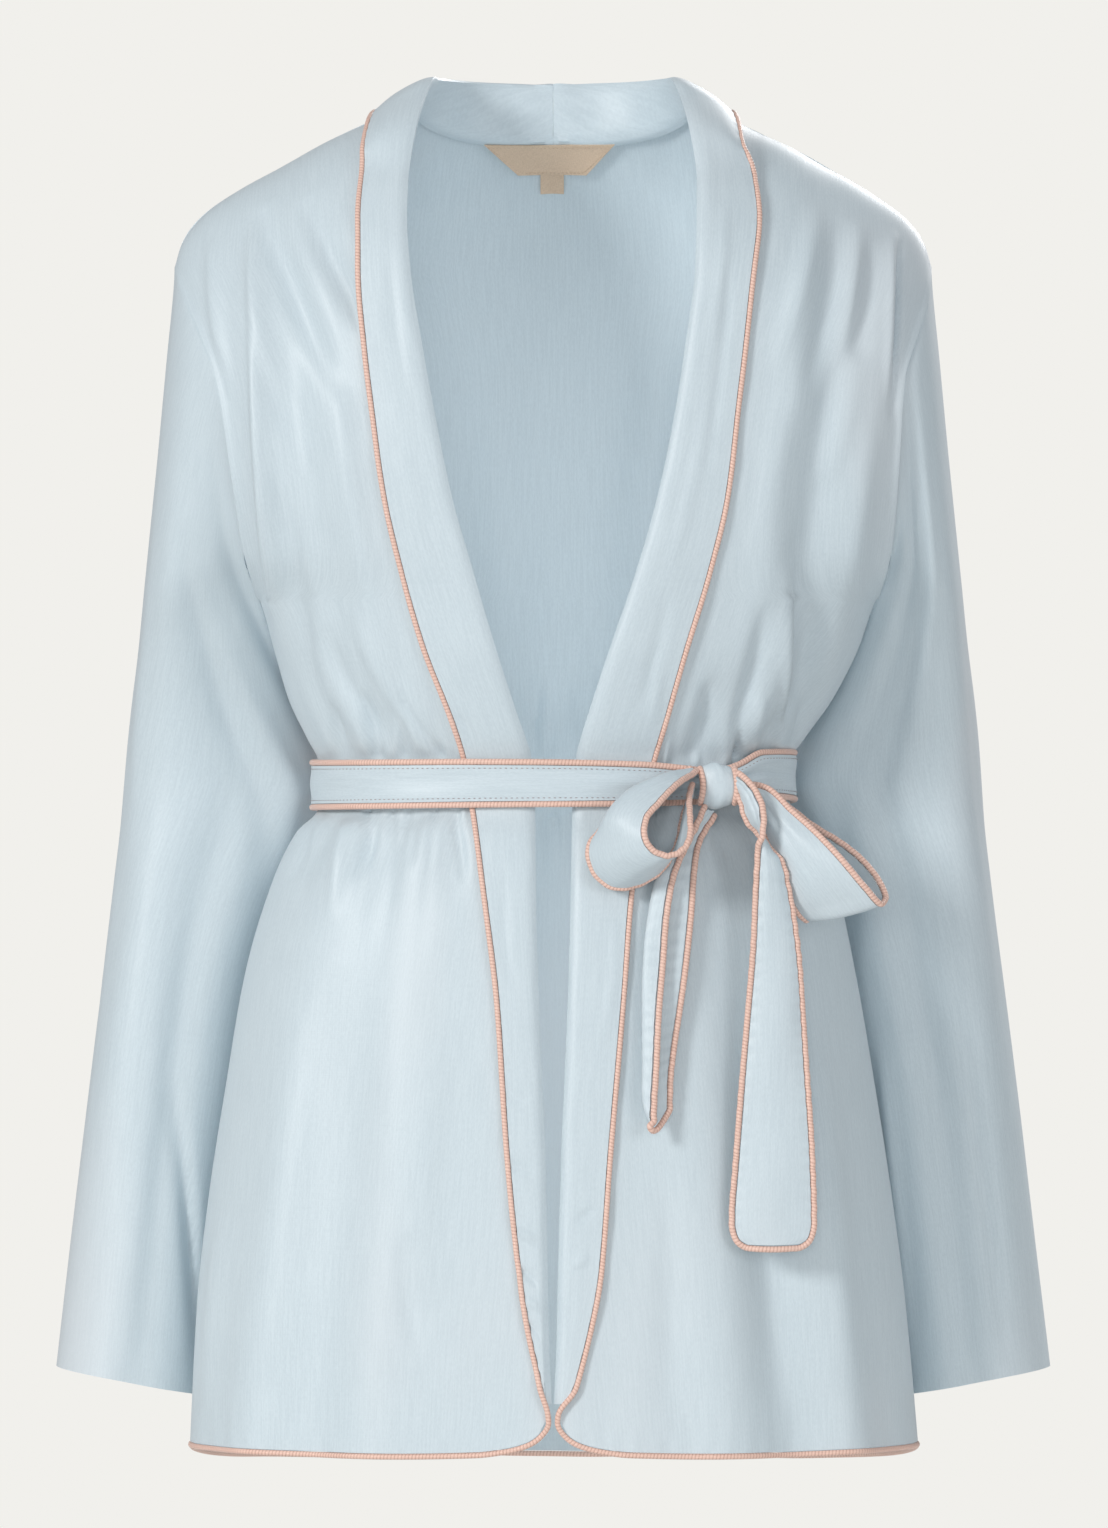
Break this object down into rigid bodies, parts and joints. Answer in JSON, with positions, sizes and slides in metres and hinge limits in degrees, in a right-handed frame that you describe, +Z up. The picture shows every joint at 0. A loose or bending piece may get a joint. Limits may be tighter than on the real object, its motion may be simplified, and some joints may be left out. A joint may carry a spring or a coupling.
{
  "type": "kimono robe",
  "caption": "Short satin wrap robe with a shawl collar folded out down the open front, set-in wide sleeves, contrast piping and a belt tied in a side bow.",
  "frame": {"origin": "base of the neck, between the shoulders that carry the robe, on the line of the shoulder seams", "axes": "+Z up the wearer, +Y to the wearer's back, +X to the wearer's left"},
  "size_m": [0.547, 0.2673, 0.7585],
  "materials": {
    "satin": "soft woven satin",
    "piping": "satin-covered cord",
    "label": "matt woven tape"
  },
  "bodies": {
    "root": {"back": "satin", "front_right": "satin", "sleeve_right": "satin", "collar_right": "satin", "front_left": "satin", "sleeve_left": "satin", "collar_left": "satin", "belt_band": "satin", "belt_knot": "satin", "bow_loop_right": "satin", "bow_loop_left": "satin", "belt_end_right": "satin", "belt_end_left": "satin", "edge_piping_right": "piping", "edge_piping_left": "piping", "back_hem_piping": "piping", "belt_piping_upper": "piping", "belt_piping_lower": "piping", "knot_piping_right": "piping", "knot_piping_left": "piping", "loop_piping_right_near": "piping", "loop_piping_right_far": "piping", "loop_piping_left_near": "piping", "loop_piping_left_far": "piping", "end_piping_right": "piping", "end_piping_left": "piping", "neck_label": "label", "size_tab": "label"}
  },
  "joints": []
}
